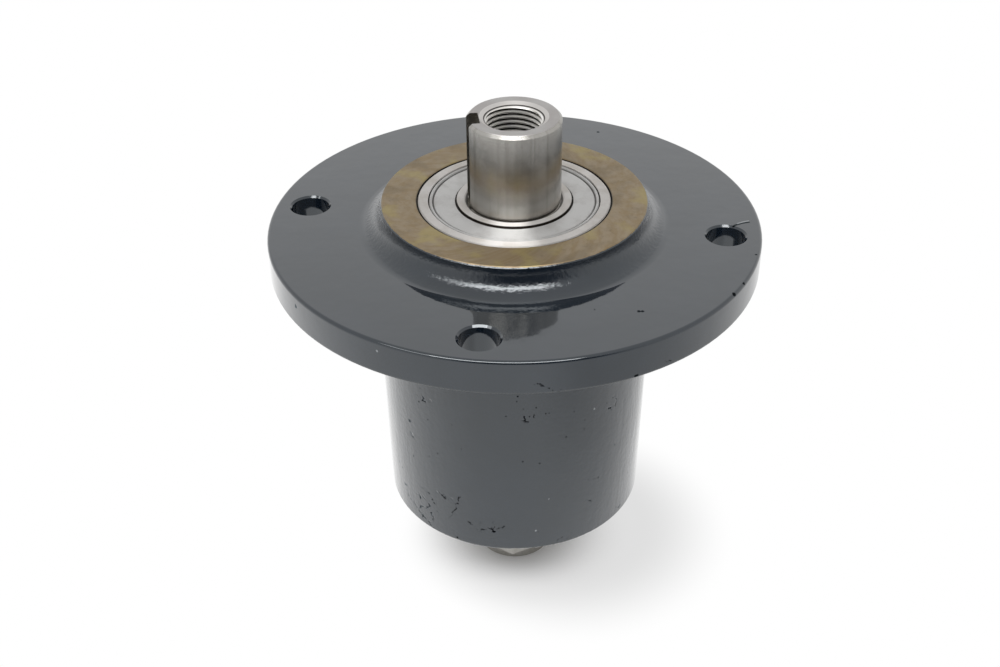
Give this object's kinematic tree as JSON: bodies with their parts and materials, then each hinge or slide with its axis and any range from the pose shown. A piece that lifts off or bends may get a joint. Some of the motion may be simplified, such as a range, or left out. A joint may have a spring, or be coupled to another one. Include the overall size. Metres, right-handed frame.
{
  "type": "mower deck spindle",
  "caption": "Mower deck spindle: round flanged housing with a raised boss and tube, two shielded ball bearings and a keyed shaft with tapped ends, hexagon and blade pilot.",
  "frame": {"origin": "on the shaft's axis, at the flange's underside, which seats on the deck", "axes": "+Z along the shaft's axis towards its keyed upper end; the keyway faces about -X"},
  "size_m": [0.132, 0.132, 0.1437],
  "materials": {
    "housing_paint": "gloss dark blue-grey paint on a casting, top rim bare, brown and oil-stained",
    "shaft_steel": "ground bright steel",
    "spacer_steel": "cut steel tube",
    "ring_steel": "ground bearing steel",
    "shield_steel": "satin pressed sheet steel",
    "ball_steel": "polished bearing steel",
    "cage_steel": "pressed sheet steel"
  },
  "bodies": {
    "housing_body": {"housing": "housing_paint", "upper_outer_ring": "ring_steel", "upper_shield_top": "shield_steel", "upper_shield_bottom": "shield_steel", "lower_outer_ring": "ring_steel", "lower_shield_top": "shield_steel", "lower_shield_bottom": "shield_steel"},
    "shaft_body": {"shaft": "shaft_steel", "bearing_spacer": "spacer_steel", "upper_inner_ring": "ring_steel", "lower_inner_ring": "ring_steel"},
    "upper_cage_body": {"upper_cage_top": "cage_steel", "upper_cage_bottom": "cage_steel", "upper_cage_rivets": "cage_steel", "upper_ball_1": "ball_steel", "upper_ball_2": "ball_steel", "upper_ball_3": "ball_steel", "upper_ball_4": "ball_steel", "upper_ball_5": "ball_steel", "upper_ball_6": "ball_steel", "upper_ball_7": "ball_steel", "upper_ball_8": "ball_steel", "upper_ball_9": "ball_steel"},
    "lower_cage_body": {"lower_cage_top": "cage_steel", "lower_cage_bottom": "cage_steel", "lower_cage_rivets": "cage_steel", "lower_ball_1": "ball_steel", "lower_ball_2": "ball_steel", "lower_ball_3": "ball_steel", "lower_ball_4": "ball_steel", "lower_ball_5": "ball_steel", "lower_ball_6": "ball_steel", "lower_ball_7": "ball_steel", "lower_ball_8": "ball_steel", "lower_ball_9": "ball_steel"}
  },
  "joints": [
    {"name": "shaft_spin", "type": "hinge", "parent": "housing_body", "child": "shaft_body", "pos_m": [0, 0, 0], "axis": [0, 0, 1], "continuous": true},
    {"name": "upper_cage_spin", "type": "hinge", "parent": "housing_body", "child": "upper_cage_body", "pos_m": [0, 0, 0.00885], "axis": [0, 0, 1], "continuous": true},
    {"name": "lower_cage_spin", "type": "hinge", "parent": "housing_body", "child": "lower_cage_body", "pos_m": [0, 0, -0.0679], "axis": [0, 0, 1], "continuous": true}
  ],
  "couplings": [
    {"joint": "upper_cage_spin", "follows": "shaft_spin", "ratio": 0.3969},
    {"joint": "lower_cage_spin", "follows": "shaft_spin", "ratio": 0.3969}
  ]
}
